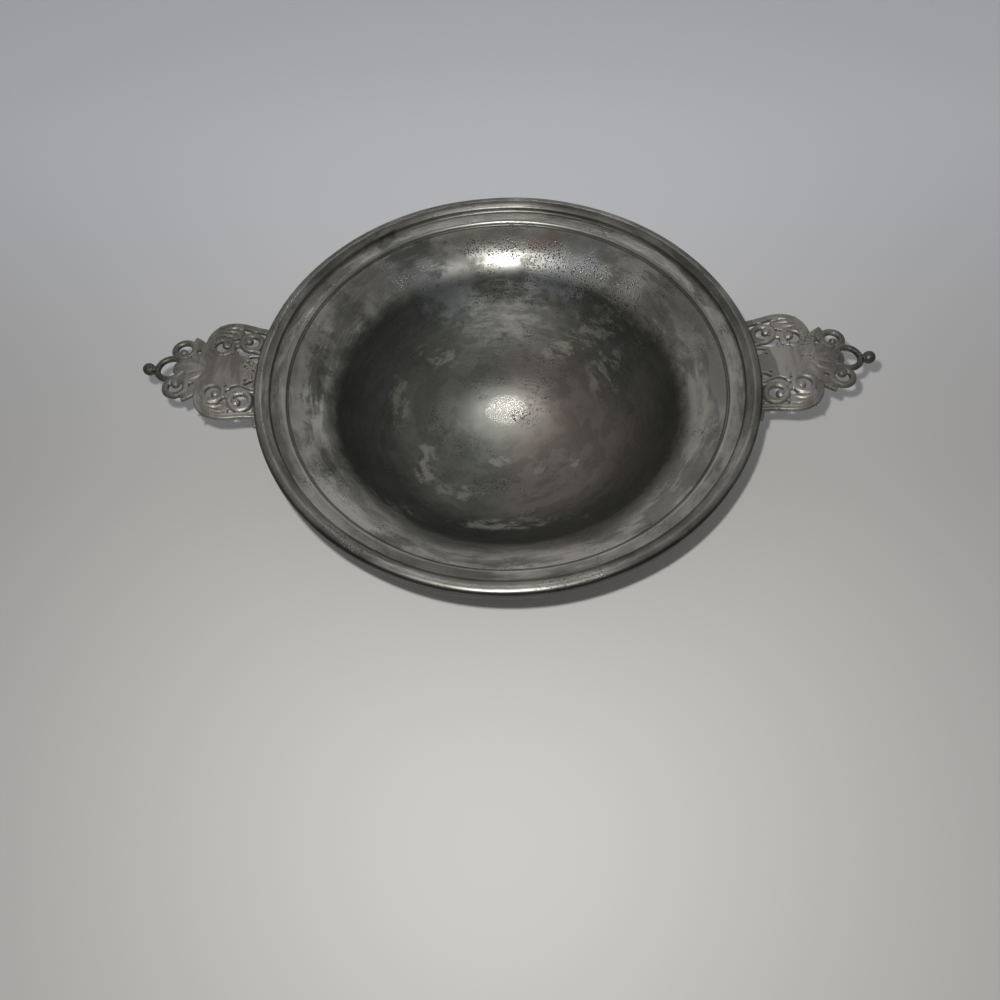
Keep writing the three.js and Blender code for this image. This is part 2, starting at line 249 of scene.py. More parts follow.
rings = {  # lines that run round the rim
    "shoulder": {"radius": 115.6, "half": 1.6, "strength": 0.4},
    # rubbed, and painted pale as a painted glint on the lip's top
    "crestWearAndGlint": {"radius": 126.4, "half": 1.2, "strength": 0.2},
    "groove": {"radius": 114.4, "half": 0.7, "strength": 0.75},
    "step": {"radius": 122.3, "half": 0.5, "strength": 0.5},
    # painted dark: shade and a dark reflection on the lip's outer edge, with dirt
    "paintedDarkLipEdge": {"radius": 130.3, "half": 3.0, "strength": 0.85},
}
crustsAndPaintedReflection = [
    {"at": (-46, -25), "size": (6, 15), "strength": 1.0},
    {"at": (-28, -41), "size": (13, 5), "strength": 0.8},
    {"at": (-5, -18), "size": (6, 3), "strength": 0.8}, {"at": (20, -25), "size": (5, 3), "strength": 0.6},
    {"at": (38, -21), "size": (2.5, 4), "strength": 1.0}, {"at": (-63, 18), "size": (5, 15), "strength": 0.5},
    {"at": (-41, 51), "size": (13, 6), "strength": 0.5}, {"at": (35, 57), "size": (14, 6), "strength": 0.6},
    {"at": (58, 38), "size": (8, 12), "strength": 0.5}, {"at": (1, -66), "size": (26, 4), "strength": 1.0},
    {"at": (50, 60), "size": (16, 6), "strength": 0.45}, {"at": (80, 76), "size": (24, 16), "strength": 0.6},
    {"at": (-99, -38), "size": (6, 12), "strength": 1.0},
    {"at": (101, -14), "size": (5, 26), "strength": 0.9},
    {"at": (-70, -78), "size": (22, 18), "strength": 0.7},
    # this pale band on the near flange is partly a painted reflection of the pale room behind
    {"at": (12, -103), "size": (60, 6), "strength": 0.9},
    {"at": (-2, 74), "size": (24, 11), "strength": 0.3}, {"at": (86, 62), "size": (16, 18), "strength": 0.5},
]
grimes = [
    {"at": (-103, 6), "size": (4.5, 30), "strength": 1.0},
    {"at": (-88, -48), "size": (6, 12), "strength": 0.9},
    {"at": (-89, 42), "size": (9, 20), "strength": 0.9},
    {"at": (84, 52), "size": (13, 13), "strength": 0.7}, {"at": (-78, 72), "size": (16, 12), "strength": 0.6},
    {"at": (0, -97), "size": (64, 4), "strength": 0.5}, {"at": (0, -111), "size": (56, 3), "strength": 0.5},
    {"at": (-56, 94), "size": (26, 10), "strength": 1.0},
]
pitted = [
    {"at": (-8, 103), "size": (30, 5), "strength": 1.0}, {"at": (26, 95), "size": (15, 8), "strength": 1.0},
    {"at": (50, 83), "size": (16, 9), "strength": 1.0}, {"at": (70, 66), "size": (12, 13), "strength": 1.0},
    {"at": (2, 88), "size": (13, 3), "strength": 0.8}, {"at": (10, 13), "size": (9, 6), "strength": 1.0},
    {"at": (-3, 41), "size": (4, 4), "strength": 0.8},
]
rubsAndPaintedHighlights = [  # where the tarnish has been rubbed off, and painted pale where the near lamp's highlight falls
    {"at": (-4, 97), "size": (15, 7), "strength": 0.8}, {"at": (-36, 90), "size": (18, 6), "strength": 0.45},
    {"at": (26, 94), "size": (14, 7), "strength": 0.4}, {"at": (50, 83), "size": (14, 9), "strength": 0.5},
    {"at": (71, 67), "size": (9, 12), "strength": 0.4},
]
polishedAndPaintedShine = [  # where the floor is polished, and painted pale as a highlight of the lamp behind
    {"at": (-1, 19), "size": (27, 24), "strength": 0.4}, {"at": (-1, 19), "size": (15, 13), "strength": 0.8},
]
washes = [  # thin films that colour the metal; the bluish ones are a painted sheen of the highlight
    {"at": (24, 105), "size": (17, 5), "colour": "rust", "strength": 0.4},
    {"at": (-46, 84), "size": (26, 10), "colour": "paintedSteelSheen", "strength": 0.35},
    {"at": (38, 90), "size": (24, 9), "colour": "paintedSteelSheen", "strength": 0.4},
    {"at": (66, -20), "size": (14, 30), "colour": "brown", "strength": 0.3},
]


def spots(tree, p, marks, wobble):  # 1 inside oval marks, 0 outside, with uneven edges
    value = 0.0
    for mark in marks:
        x, y = [add(tree, "Math DIVIDE", add(tree, "Math SUBTRACT", p[axis], at * mm), half * mm)
                for axis, at, half in zip("xy", mark["at"], mark["size"])]
        away = add(tree, "VectorMath LENGTH", add(tree, "CombineXYZ", x, y, 0.0))
        edge = add(tree, "MapRange SMOOTHSTEP", add(tree, "Math ADD", away, wobble), 1.35, 0.55)
        value = add(tree, "Math MAXIMUM", value, add(tree, "Math MULTIPLY", edge, mark["strength"]))
    return value


def ringAt(tree, p, name):  # a ring's strength on its circle, fading to 0 on both sides
    ring = rings[name]
    away = add(tree, "Math ABSOLUTE", add(tree, "Math SUBTRACT", p["radius"], ring["radius"] * mm))
    line = add(tree, "MapRange SMOOTHSTEP", away, ring["half"] * mm, ring["half"] * 0.3 * mm)
    return add(tree, "Math MULTIPLY", line, ring["strength"])


def outside(tree, p, name):  # 0 within a ring, 1 beyond it
    edge = rings[name]["radius"]
    return add(tree, "MapRange SMOOTHSTEP", p["radius"], (edge - 0.5) * mm, edge * mm)


# The floor is stained, greenish on one side and brownish on the other, and worn smooth in its middle.
# Pale colour is painted there and on the flange as painted highlights.
def stainFloorAndPaintHighlights(tree, p):
    side = add(tree, "MapRange SMOOTHSTEP", p["x"], inside["greenTo"] * mm, inside["brownFrom"] * mm)
    tint = add(tree, "Mix RGBA", side, inside["green"], inside["brown"])
    stained = add(tree, "Math MULTIPLY", p["low"], inside["floorStrength"])
    colour = add(tree, "Mix RGBA", stained, p["colour"], tint)
    centre = add(tree, "MapRange SMOOTHSTEP", p["radius"], inside["centreFrom"] * mm, inside["centreTo"] * mm)
    worn = add(tree, "MapRange LINEAR", centre, 0.0, 1.0, inside["floorRoughness"], inside["centreRoughness"])
    roughness = add(tree, "Mix FLOAT", p["low"], p["roughness"], worn)
    # rubbed wear, and pale colour painted on the flange as a highlight of the near lamp
    rubbed = spots(tree, p, rubsAndPaintedHighlights, p["wobble"])
    # polished smooth, and pale colour painted as the floor's highlight
    shine = spots(tree, p, polishedAndPaintedShine, 0.0)
    pale = add(tree, "Math MAXIMUM", rubbed, add(tree, "Math MULTIPLY", shine, inside["shineStrength"]))
    p["colour"] = add(tree, "Mix RGBA", pale, colour, pewter["pale"])
    roughness = add(tree, "Mix FLOAT", shine, roughness, inside["shineRoughness"])
    p["roughness"] = add(tree, "Mix FLOAT", rubbed, roughness, pewter["polish"])


# The wall is tarnished almost black, and thin films colour the metal in places; the bluish ones are a painted
# sheen
def stainWallAndPaintSheen(tree, p):
    reach = add(tree, "Math MULTIPLY_ADD", p["wobble"], inside["reachWobble"] * mm, p["radius"])
    steep = add(tree, "MapRange SMOOTHSTEP", reach, inside["wallFrom"] * mm, inside["wallTo"] * mm)
    cloudy = add(tree, "MapRange LINEAR", p["clouds"], 0.0, 1.0, 0.95, 0.75)
    tarnish = add(tree, "Math MULTIPLY", add(tree, "Math MULTIPLY", p["low"], steep), cloudy)
    colour = add(tree, "Mix RGBA", tarnish, p["colour"], inside["tarnish"])
    p["roughness"] = add(tree, "Mix FLOAT", tarnish, p["roughness"], inside["tarnishRoughness"])
    for wash in washes:
        film = spots(tree, p, [wash], p["wobble"])
        colour = add(tree, "Mix RGBA", film, colour, inside[wash["colour"]])
    p["colour"] = colour


# Food has dried pale in patches with torn edges, grime has gathered in streaks, and some places are pitted.
# Along the near flange the pale band is also a painted reflection.
def stainInPlacesAndPaintReflection(tree, p):
    streaks = torn(tree, p["smeared"], 7, 0.45, 0.54, 7.0, 0.7, (0.9, 0.4, 0))
    crust = add(tree, "Math MULTIPLY", spots(tree, p, crustsAndPaintedReflection, p["wobble"]), streaks)
    dried = add(tree, "Math MULTIPLY", crust, inside["crustStrength"])
    colour = add(tree, "Mix RGBA", dried, p["colour"], inside["crust"])
    streaks = torn(tree, p["smeared"], 6, 0.36, 0.5, 7.0, 0.7)
    grime = add(tree, "Math MULTIPLY", spots(tree, p, grimes, p["wobble"]), streaks)
    dirty = add(tree, "Math MULTIPLY", grime, inside["grimeStrength"])
    p["colour"] = add(tree, "Mix RGBA", dirty, colour, pewter["dark"])
    either = add(tree, "Math MAXIMUM", crust, grime)
    p["roughness"] = add(tree, "Math MULTIPLY_ADD", either, inside["stainRoughness"], p["roughness"])
    everywhere = add(tree, "Math MULTIPLY", p["pitting"], inside["pittingStrength"])
    p["pitting"] = add(tree, "Math MAXIMUM", everywhere, spots(tree, p, pitted, p["wobble"]))


# Scouring has left broken streaks, painted pale mostly on the back wall, where they also stand in for the
# near lamp's highlight
def scourBackAndPaintHighlight(tree, p):
    behind = add(tree, "MapRange SMOOTHSTEP", p["y"], inside["backFrom"] * mm, inside["backTo"] * mm)
    sideways = add(tree, "Math ABSOLUTE", p["x"])
    middle = add(tree, "MapRange SMOOTHSTEP", sideways, inside["backHalf"] * mm, inside["backCore"] * mm)
    back = add(tree, "Math MULTIPLY", add(tree, "Math MULTIPLY", behind, p["low"]), middle)
    streak = torn(tree, p["smeared"], 5, 0.48, 0.56, 6.0, 0.65, (0.2, 0, 0))
    # pale streaks, partly a painted highlight on the back wall
    streak = add(tree, "Math MULTIPLY", streak, add(tree, "MapRange LINEAR", back, 0.0, 1.0, 0.03, 0.13))
    p["colour"] = add(tree, "Mix RGBA", streak, p["colour"], pewter["clean"])


# The rim is duller. Dirt lies on it in patches and on the lip; dark lines run along the groove and the lip's
# step.
# The lip's outer edge is painted dark, with dirt and as painted shade and a painted dark reflection.
# The band's shoulder is rubbed; the lip's top is rubbed and also painted pale as a painted glint.
def stainRimAndPaintLight(tree, p):
    rim = outside(tree, p, "groove")
    duller = add(tree, "Math MULTIPLY", rim, inside["rimStrength"])
    roughness = add(tree, "Mix FLOAT", duller, p["roughness"], inside["rimRoughness"])
    # rubbed wear, and a painted glint on the lip's top
    rubbed = add(tree, "Math MAXIMUM", ringAt(tree, p, "shoulder"), ringAt(tree, p, "crestWearAndGlint"))
    colour = add(tree, "Mix RGBA", rubbed, p["colour"], pewter["pale"])
    p["roughness"] = add(tree, "Mix FLOAT", rubbed, roughness, pewter["polish"])
    smears = torn(tree, p["smeared"], 5, 0.44, 0.58, 6.0, 0.65, (0.5, 0.2, 0))
    smears = add(tree, "Math MULTIPLY", add(tree, "Math MULTIPLY_ADD", smears, 0.2, 0.14), rim)
    smears = add(tree, "Math MULTIPLY", smears, add(tree, "Math SUBTRACT", 1.0, rubbed))
    dirtAndPaintedShade = add(tree, "Math MULTIPLY_ADD", outside(tree, p, "step"), inside["lipStrength"], smears)
    # dark lines in the groove and at the step; the lip's edge is painted shade and dark reflection
    for name in ("groove", "step", "paintedDarkLipEdge"):
        dirtAndPaintedShade = add(tree, "Math MAXIMUM", dirtAndPaintedShade, ringAt(tree, p, name))
    p["colour"] = add(tree, "Mix RGBA", dirtAndPaintedShade, colour, pewter["black"])


def makePewterStainsAndPaintedLight():
    material, tree, shader = newMaterial("insideStainsAndPaintedLight")
    p = startPewter(tree)
    uneven = add(tree, "TexNoise", p["place"], 1 / (inside["unevenSize"] * mm), 5.0, 0.65)
    p["wobble"] = add(tree, "MapRange LINEAR", uneven, 0.3, 0.7, -0.6, 0.6)
    height = add(tree, "Math MULTIPLY_ADD", p["wobble"], inside["heightWobble"] * mm, p["z"])
    p["low"] = add(tree, "MapRange SMOOTHSTEP", height, inside["wellFrom"] * mm, inside["wellTo"] * mm)
    for stain in (stainFloorAndPaintHighlights, stainWallAndPaintSheen, stainInPlacesAndPaintReflection, scourBackAndPaintHighlight, stainRimAndPaintLight):
        stain(tree, p)
    finishPewter(tree, shader, p, pewter["turnDepth"])
    return material


# Cast pewter of the ears: no lathe marks, dirt in the hollows, rubbed edges, and tips that are almost black,
# from tarnish and as a painted dark reflection
castPewter = {
    "warm": "#7f786f", "hollow": "#33322e", "rubbed": "#a5a39b", "tip": "#34352f",
    "tipFrom": 164, "tipTo": 180,
    "warmStrength": 0.35, "hollowStrength": 0.8, "rubbedStrength": 0.45, "tipStrength": 0.7, "rougher": 0.16,
}


def makeCastPewter():
    material, tree, shader = newMaterial("castPewter")
    p = startPewter(tree)
    bend = add(tree, "NewGeometry", out="Pointiness")
    reach = add(tree, "Math ABSOLUTE", p["x"])
    colour = add(tree, "Mix RGBA", castPewter["warmStrength"], p["colour"], castPewter["warm"])
    for name, value, start, end in (
        ("hollow", bend, 0.495, 0.43),
        ("rubbed", bend, 0.54, 0.62),
        # the tips are darkened for tarnish and as a painted dark reflection
        ("tip", reach, castPewter["tipFrom"] * mm, castPewter["tipTo"] * mm),
    ):
        mask = add(tree, "MapRange SMOOTHSTEP", value, start, end)
        mask = add(tree, "Math MULTIPLY", mask, castPewter[name + "Strength"])
        colour = add(tree, "Mix RGBA", mask, colour, castPewter[name])
    p["colour"] = colour
    p["roughness"] = add(tree, "Math ADD", p["roughness"], castPewter["rougher"])
    finishPewter(tree, shader, p, 0.0)
    return material


# Solder: soft bright metal wiped into a corner while it was hot
def makeSolder():
    material, tree, shader = newMaterial("wipedSolder")
    p = startPewter(tree)
    wiped = torn(tree, p["smeared"], 5, 0.4, 0.6, 3.0)
    p["colour"] = add(tree, "Mix RGBA", wiped, pewter["dull"], pewter["pale"])
    p["roughness"] = add(tree, "MapRange LINEAR", wiped, 0.0, 1.0, 0.5, 0.36)
    finishPewter(tree, shader, p, 0.0)
    return material


pewterStainsAndPaintedLight = makePewterStainsAndPaintedLight()
turnedPewter = makeTurnedPewter()
earPewter = makeCastPewter()
wipedSolder = makeSolder()
print("materials made")


# The bowl, turned: a rounded lip, a band with a soft shoulder, a groove, then the flange that curls down
# into a round well. Depths are below the rim.
bowl = {
    "rimRadius": bowlBox[1].x / mm, "rimHeight": bowlBox[1].z / mm, "floorDepth": 66, "wall": 2.6,
    "lipCrest": 126.7, "lipWidth": 7.8, "lipDrop": 2.7, "lipFace": 6, "lipRounding": 1.3, "lipStep": 2.3,
    "bandWidth": 5.7, "bandDrop": 1.7, "shoulderRounding": 2.1, "grooveWidth": 0.5, "grooveDepth": 0.3,
    "flangeBend": (98.5, 15.5), "throat": (91.8, 28), "bulge": (77.5, 58), "heelRadius": 50, "sag": 1.2,
    "turns": 320, "waviness": 0.2, "waveSize": 42, "waveSeed": 4,
}


def below(point):  # a place given by its radius and its depth below the rim
    return Vector((point[0], bowl["rimHeight"] - point[1]))


def lipLine():
    b = bowl
    rim, soft = b["rimRadius"], b["lipRounding"]
    inner = rim - b["lipWidth"]
    line = arc(below((rim - soft, b["lipFace"] - soft)), soft, -90, 0, 6)
    line += bezier([below(p) for p in ((rim, 2.2), (rim, 0.9), (rim - 1.3, 0), (b["lipCrest"], 0))], 10)
    line += bezier([below(p) for p in ((b["lipCrest"], 0), (b["lipCrest"] - 1.8, 0), (inner + 1.5, 1.3),
                                       (inner + 0.3, b["lipDrop"] - 0.3))], 12)[1:]
    return line + [below((inner, b["lipDrop"] + 0.2))]


def bandLine():
    b = bowl
    start = below((b["rimRadius"] - b["lipWidth"], b["lipDrop"] + b["lipStep"]))
    end = start - Vector((b["bandWidth"], b["bandDrop"]))
    return bezier([start, start.lerp(end, 0.5) - Vector((0, 0.15)), end], 8)


def grooveLine(band):  # the shoulder that ends the band, and the groove under it
    b = bowl
    tilt = math.degrees(math.atan2(b["bandDrop"], b["bandWidth"]))
    turn = math.radians(90 + tilt)
    centre = band[-1] - Vector((math.cos(turn), math.sin(turn))) * b["shoulderRounding"]
    line = arc(centre, b["shoulderRounding"], 90 + tilt, 184, 12)
    return line[1:] + [line[-1] - Vector((b["grooveWidth"] / 2, b["grooveDepth"]))]


def makeBowl():
    b = bowl
    band = bandLine()
    groove = grooveLine(band)
    flangeStart = groove[-1] - Vector((b["grooveWidth"] / 2, 0.05))
    flange = bezier([flangeStart, below(b["flangeBend"]), below(b["throat"])], 30)
    floor = b["floorDepth"] + b["sag"]
    well = bezier([below(p) for p in (b["throat"], b["bulge"], (b["heelRadius"], floor), (0, floor))], 60)
    inner = lipLine() + band + groove + flange + well[1:]
    outer = moved(band, b["wall"]) + moved(flange, b["wall"]) + moved(well, b["wall"])[1:]
    outer[-1].x = 0
    bm = spun(outer[::-1] + inner, b["turns"])
    noise.seed_set(b["waveSeed"])  # without a seed, noise_vector differs in each run
    for vert in bm.verts:  # worked by hand, so a little out of true
        reach = min(1, vert.co.xy.length / (b["throat"][0] * mm))
        vert.co += noise.noise_vector(vert.co / (b["waveSize"] * mm)) * b["waviness"] * mm * reach
        if vert.co.xy.length > b["rimRadius"] * mm:
            vert.co.xy *= b["rimRadius"] * mm / vert.co.xy.length
        vert.co.z = min(vert.co.z, b["rimHeight"] * mm)
    for face in bm.faces:  # the inside has its own finish
        middle = face.calc_center_median()
        inward = Vector((-middle.x, -middle.y, 0)).normalized() + Vector((0, 0, 1))
        # the lip's outer face takes the inside finish, so that the painted dark edge covers it
        onLip = middle.xy.length > b["lipCrest"] * mm
        face.material_index = 0 if onLip or face.normal.dot(inward) > 0 else 1
    newPiece("bowl", bm, [pewterStainsAndPaintedLight, turnedPewter], "pewter_bowl", "bowl_body")


makeBowl()


# The foot ring, turned, with a cove over its edge; its top is let into the bowl's back
foot = {"radius": 56, "width": 5.5, "edge": 0.8, "cove": 4, "top": footBox[1].z / mm, "turns": 256}


def makeFoot():
    f = foot
    outer, inner = footBox[1].x / mm, f["radius"] - f["width"]
    profile = arc((inner + f["edge"], f["edge"]), f["edge"], 180, 270, 4)
    profile += arc((outer - f["edge"], f["edge"]), f["edge"], -90, 20, 5)
    profile += bezier([(outer - 0.2, 1.6), (f["radius"] + 0.1, 2.0), (f["radius"], f["cove"])], 6)
    profile += [Vector((f["radius"], f["top"])), Vector((inner, f["top"] - 0.9))]
    newPiece("foot", spun(profile, f["turns"], closed=True), [turnedPewter], "pewter_foot", "foot_ring")


makeFoot()


# Solder fillets: one round the foot, one under each ear's root, with wandering edges
solder = {"wander": 0.4, "wanderSize": 7, "earReach": 27.4, "earOuter": 118.8}


def wander(bm, lowest, highest):
    for vert in bm.verts:
        shift = noise.noise(vert.co / (solder["wanderSize"] * mm)) * solder["wander"] * mm
        vert.co.z = min(max(vert.co.z + shift, lowest), highest)


def makeFootSolder():
    low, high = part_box("foot_seam")
    outer = high.x / mm
    low, high = low.z / mm, high.z / mm
    profile = [Vector((foot["radius"] - 0.6, high)), Vector((foot["radius"] - 0.6, low))]
    profile += bezier([(foot["radius"] + 0.1, low), (foot["radius"] + 0.35, high - 0.6), (outer, high)], 6)
    bm = spun(profile, foot["turns"], closed=True)
    wander(bm, 0, high * mm)
    newPiece("footSolder", bm, [wipedSolder], "solder", "foot_seam")


makeFootSolder()


def makeEarSolder(name, turn, node):
    low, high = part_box(node)
    bottom, top = low.z / mm, high.z / mm
    outer = solder["earOuter"]
    profile = [(117.1, bottom), (118.4, bottom + 0.3), (outer, top - 0.2), (118.4, top), (116.2, top - 0.5)]
    bm = swept(profile, math.asin(solder["earReach"] / outer), 64, turn)
    wander(bm, low.z, high.z)
    newPiece(name, bm, [wipedSolder], "solder", node)


makeEarSolder("earSolderRight", 0, "ear_seam_right")
makeEarSolder("earSolderLeft", 180, "ear_seam_left")


# An ear: a flat casting of open scrollwork. Places are out from the rim's edge and sideways from the middle.
ear = {
    "thickness": 3, "drop": 5, "tipDrop": 0.4, "gap": 0.35, "arch": 1.7,
    "bigLobe": [(-2.4, 27.8), (3, 28.4), (8, 29.3), (13, 30.2), (17.5, 30.0), (21.8, 28.5), (25.2, 25.6),
                (27.3, 21.7), (28.2, 17.5), (28.0, 13.5)],
    "lobeStrap": 1.9, "cord": 0.8, "cordApart": 1.0,
    "strap": 1.8, "strapHeight": 2.1, "bead": 2.35,
    "leaf": [(11.5, 27.5), (11.2, 24.2), (14.5, 21.6), (18.5, 21.0), (23, 20.5), (27, 17.5), (28.4, 20),
             (26.5, 25), (23, 28.2), (17.5, 29.6)],
    "rootVolute": {"at": (6.4, 19.6), "radius": 5.2, "beadTurn": 30},
    "outerVolute": {"at": (20.8, 15.2), "radius": 5.2, "beadTurn": 145},
    "smallLobe": {"at": (40.1, 12.4), "radius": 5.2, "beadTurn": -80},
    "endLoop": {"at": (45.2, 0), "radius": 6.8},
    "ball": 3.3, "ballOut": 56.3,
    "petals": [(0, 18, 3.6), (34, 13.5, 2.2), (-34, 13.5, 2.2), (62, 8.5, 1.6), (-62, 8.5, 1.6)],
    "fanRoot": 24, "petalRise": 0.42,
    "strip": [(119.4, 63.5), (132.4, 63.5), (132.5, 66.3), (129.2, 66.3), (124.2, 65.0), (120.4, 63.8)],
    "stripHalf": 33.6, "voxel": 0.32,
}


def atRim(side):  # how far out the rim's edge is at a place sideways
    return math.sqrt((bowl["rimRadius"] + ear["gap"]) ** 2 - side ** 2) - bowl["rimRadius"]


def addCurve(bm, loops, radii, settings, place):  # a curve with its own thickness, taken into the mesh
    curve = bpy.data.curves.new("stroke", "CURVE")
    for key, value in settings.items():
        setattr(curve, key, value)
    for loop in loops:
        spline = curve.splines.new("POLY")
        spline.use_cyclic_u = curve.dimensions == "2D"
        spline.points.add(len(loop) - 1)
        for i, (point, at) in enumerate(zip(spline.points, loop)):
            along = i / (len(loop) - 1) * (len(radii) - 1)
            k = max(min(int(along), len(radii) - 2), 0)
            point.co = (at[0] * mm, at[1] * mm, 0, 1)
            point.radius = between(radii[k], radii[min(k + 1, len(radii) - 1)], along - k)
    holder = bpy.data.objects.new("stroke", curve)
    mesh = bpy.data.meshes.new_from_object(holder)
    mesh.transform(place)
    bm.from_mesh(mesh)
    bpy.data.objects.remove(holder)
    bpy.data.meshes.remove(mesh)
    bpy.data.curves.remove(curve)


def addStroke(bm, line, widths, height=1.0, lift=0.0):  # a rounded strap; half widths spread along it
    settings = {"dimensions": "3D", "bevel_depth": mm, "bevel_resolution": 3, "use_fill_caps": True}
    place = Matrix.Translation((0, 0, lift * mm)) @ Matrix.Diagonal((1, 1, height, 1))
    addCurve(bm, [line], widths, settings, place)


def addPlate(bm, loops, low, high, soft=0.3):  # a flat sheet: its outline, then the holes through it
    settings = {"dimensions": "2D", "fill_mode": "BOTH", "extrude": ((high - low) / 2 - soft) * mm,
                "bevel_depth": soft * mm, "bevel_resolution": 2, "offset": -soft * mm}
    addCurve(bm, loops, [1, 1], settings, Matrix.Translation((0, 0, (low + high) / 2 * mm)))


def addBead(bm, out, side, radius, height=1.0, lift=0.0):
    place = Matrix.Translation((out * mm, side * mm, lift * mm)) @ Matrix.Diagonal((1, 1, height, 1))
    bmesh.ops.create_uvsphere(bm, u_segments=24, v_segments=14, radius=radius * mm, matrix=place)


def oval(out, side, half, halfWidth, turn):
    spin = Matrix.Rotation(math.radians(turn), 2)
    circle = arc((0, 0), 1, 0, 342, 19)
    return [spin @ Vector((p.x * half, p.y * halfWidth)) + Vector((out, side)) for p in circle]


def shieldOutline():
    half = [(atRim(5.6), 5.6), (3.0, 6.2), (5.4, 8.0), (7.2, 9.5), (10.5, 10.2), (13.2, 11.8), (15.2, 10.2),
            (18.0, 9.0), (20.8, 8.9), (24.5, 9.8), (27.0, 12.2), (28.3, 15.4), (30.6, 18.0), (33.2, 19.9),
            (35.4, 21.2), (36.4, 19.0), (36.2, 16.0), (35.0, 13.0), (35.2, 9.4), (37.6, 6.8), (41.0, 5.4),
            (42.5, 4.0), (43.6, 2.2)]
    return flipped(half, 1) + flipped(half[::-1], -1)


def addVolute(bm, volute, sign):  # a ring with a bead grown from its inner edge
    at, radius = volute["at"], volute["radius"]
    start = volute["beadTurn"] + 180
    addStroke(bm, flipped(arc(at, radius, start, start + 360, 40), sign), [ear["strap"]],
              ear["strapHeight"] / ear["strap"] * 0.85)
    turn = math.radians(volute["beadTurn"])
    bead = Vector(at) + Vector((math.cos(turn), math.sin(turn))) * (radius - ear["strap"] - ear["bead"] + 1.0)
    addBead(bm, bead.x, sign * bead.y, ear["bead"], 0.9, 0.2)


def addHalf(bm, sign):
    e = ear
    lobe = flipped(through(e["bigLobe"]), sign)
    addStroke(bm, lobe, [e["lobeStrap"]], 0.72)
    for side in (-1, 1):
        addStroke(bm, moved(lobe, side * e["cordApart"]), [e["cord"], e["cord"], e["cord"] * 0.6], 1.0, 0.9)
    for volute in (e["rootVolute"], e["outerVolute"], e["smallLobe"]):
        addVolute(bm, volute, sign)
    addPlate(bm, [flipped(e["leaf"], sign)], -e["thickness"] / 2, 0.5)
    for out, side, radius in ((13.5, 17.3, 1.7), (6.4, 26.6, 1.4), (13.6, 11.9, 1.5), (14.2, 28.4, 1.0)):
        addBead(bm, out, sign * side, radius, 0.85)
    # Lead-in of the root scroll, the leaf of three flutes, the loop beside the shield, and two cusps
    for path, widths, height, lift in (
        ([(atRim(12.8), 12.8), (2.5, 13.6), (6.5, 14.6)], [1.1, 1.5], 1.2, 0),
        ([(25.8, 24.8), (21.6, 26.2), (17.0, 26.9), (12.4, 26.0)], [1.5, 1.6, 1.3, 0.5], 1.0, 0),
        ([(25.8, 22.8), (21.6, 23.7), (17.8, 23.7), (14.2, 22.2)], [1.4, 1.4, 1.1, 0.5], 1.05, 0.2),
        ([(25.8, 20.8), (22.6, 21.5), (19.4, 21.2)], [1.3, 1.1, 0.6], 1.1, 0.2),
        ([(atRim(10.9), 10.9), (3.2, 10.9), (6.4, 9.9), (8.5, 9.2)], [0.95], 1.4, 0),
        ([(23.2, 27.6), (24.2, 29.0), (25.0, 30.4)], [1.4, 0.9, 0.3], 1.0, 0),
        ([(33.4, 17.8), (34.4, 19.6), (35.4, 21.3)], [1.6, 1.0, 0.35], 1.0, 0),
    ):
        addStroke(bm, flipped(through(path), sign), widths, height, lift)


def addFan(bm):
    for turn, length, half in ear["petals"]:
        start, end = 1.2, 1.2 + length
        heading = Vector((math.cos(math.radians(turn)), math.sin(math.radians(turn))))
        line = [Vector((ear["fanRoot"], 0)) + heading * between(start, end, i / 16) for i in range(17)]
        addStroke(bm, line, [0.2, half * 0.6, half * 0.95, half, half * 0.8, 0.3], ear["petalRise"], 1.0)


def addStrip(bm, place):  # the bracket under the rim that carries the ear
    strip = swept(ear["strip"], math.asin(ear["stripHalf"] / bowl["rimRadius"]), 48)
    strip.transform(place.inverted())
    held = bpy.data.meshes.new("strip")
    strip.to_mesh(held)
    strip.free()
    bm.from_mesh(held)


def fused(bm, voxel):  # overlapping forms run together, as in one casting
    holder = bpy.data.objects.new("casting", bpy.data.meshes.new("casting"))
    bm.to_mesh(holder.data)
    bm.free()
    bpy.context.scene.collection.objects.link(holder)
    remesh = holder.modifiers.new("remesh", "REMESH")
    remesh.mode = "VOXEL"
    remesh.voxel_size = voxel * mm
    dense = bpy.data.meshes.new_from_object(holder.evaluated_get(bpy.context.evaluated_depsgraph_get()))
    bpy.data.objects.remove(holder)
    bm = bmesh.new()
    bm.from_mesh(dense)
    for step in range(3):
        bmesh.ops.smooth_vert(bm, verts=bm.verts, factor=0.5,
                              use_axis_x=True, use_axis_y=True, use_axis_z=True)
    return bm


